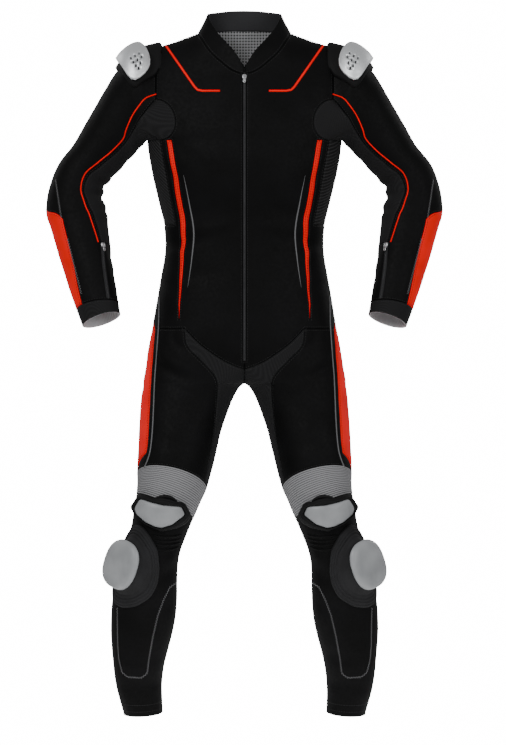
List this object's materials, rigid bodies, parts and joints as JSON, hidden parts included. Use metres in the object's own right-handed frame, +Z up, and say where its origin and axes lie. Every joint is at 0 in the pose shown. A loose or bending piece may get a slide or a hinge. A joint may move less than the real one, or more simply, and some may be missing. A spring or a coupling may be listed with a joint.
{
  "type": "one-piece motorcycle race suit",
  "caption": "One-piece leather motorcycle race suit, standing filled out and hollow, with stretch inserts, a front zip, shoulder cups, knee cups and removable knee sliders.",
  "frame": {"origin": "middle of the neck, level with the points where the neck meets the shoulders", "axes": "+Z up, the front faces -Y, +X is towards the wearer's left"},
  "size_m": [0.816, 0.2615, 1.4537],
  "materials": {
    "black_leather": "satin",
    "red_leather": "satin",
    "charcoal_stretch": "matte",
    "grey_ribbed_stretch": "matte",
    "grey_piping": "matte",
    "grey_mesh_lining": "matte",
    "zip_tape": "matte",
    "nickel": "polished",
    "brushed_aluminium": "brushed",
    "grey_plastic": "satin",
    "black_rubber": "matte"
  },
  "bodies": {
    "suit": {"front_l": "black_leather", "front_r": "black_leather", "leg_front_l": "black_leather", "leg_front_r": "black_leather", "leg_back_l": "black_leather", "leg_back_r": "black_leather", "lower_leg_l": "black_leather", "lower_leg_r": "black_leather", "sleeve_l": "black_leather", "sleeve_r": "black_leather", "back": "black_leather", "collar": "black_leather", "side_stripe_l": "red_leather", "side_stripe_r": "red_leather", "chest_stripe_l": "red_leather", "chest_stripe_r": "red_leather", "thigh_panel_l": "red_leather", "thigh_panel_r": "red_leather", "forearm_panel_l": "red_leather", "forearm_panel_r": "red_leather", "sleeve_piping_l": "red_leather", "sleeve_piping_r": "red_leather", "side_ribs_l": "charcoal_stretch", "side_ribs_r": "charcoal_stretch", "sleeve_stretch_l": "charcoal_stretch", "sleeve_stretch_r": "charcoal_stretch", "cuff_l": "charcoal_stretch", "cuff_r": "charcoal_stretch", "crotch_gusset": "charcoal_stretch", "collar_facing": "charcoal_stretch", "knee_ribs_l": "grey_ribbed_stretch", "knee_ribs_r": "grey_ribbed_stretch", "thigh_piping_l": "grey_piping", "thigh_piping_r": "grey_piping", "cuff_lining_l": "grey_mesh_lining", "cuff_lining_r": "grey_mesh_lining", "back_lining": "grey_mesh_lining", "calf_zip_l": "zip_tape", "calf_zip_r": "zip_tape", "cuff_zip_l": "zip_tape", "cuff_zip_r": "zip_tape", "zip_tape": "zip_tape", "cuff_slider_l": "nickel", "cuff_slider_r": "nickel", "zip_slider": "nickel", "shoulder_cup_l": "brushed_aluminium", "shoulder_cup_r": "brushed_aluminium", "knee_plate_l": "grey_plastic", "knee_plate_r": "grey_plastic", "slider_puck_l": "grey_plastic", "slider_puck_r": "grey_plastic", "shoulder_pad_l": "black_rubber", "shoulder_pad_r": "black_rubber", "knee_frame_l": "black_rubber", "knee_frame_r": "black_rubber", "slider_base_l": "black_rubber", "slider_base_r": "black_rubber"},
    "main_pull": {"zip_pull": "nickel"},
    "left_cuff_pull": {"cuff_pull_l": "nickel"},
    "right_cuff_pull": {"cuff_pull_r": "nickel"}
  },
  "joints": [
    {"name": "main_pull_hinge", "type": "hinge", "parent": "suit", "child": "main_pull", "pos_m": [0, -0.08624, -0.09124], "axis": [-1, 0, 0], "range_deg": [0, 120]},
    {"name": "left_cuff_pull_hinge", "type": "hinge", "parent": "suit", "child": "left_cuff_pull", "pos_m": [0.28812, -0.06094, -0.43546], "axis": [-0.7775, 0.6156, -0.1285], "range_deg": [0, 120]},
    {"name": "right_cuff_pull_hinge", "type": "hinge", "parent": "suit", "child": "right_cuff_pull", "pos_m": [-0.28812, -0.06094, -0.43546], "axis": [-0.7775, -0.6156, 0.1285], "range_deg": [0, 120]}
  ]
}
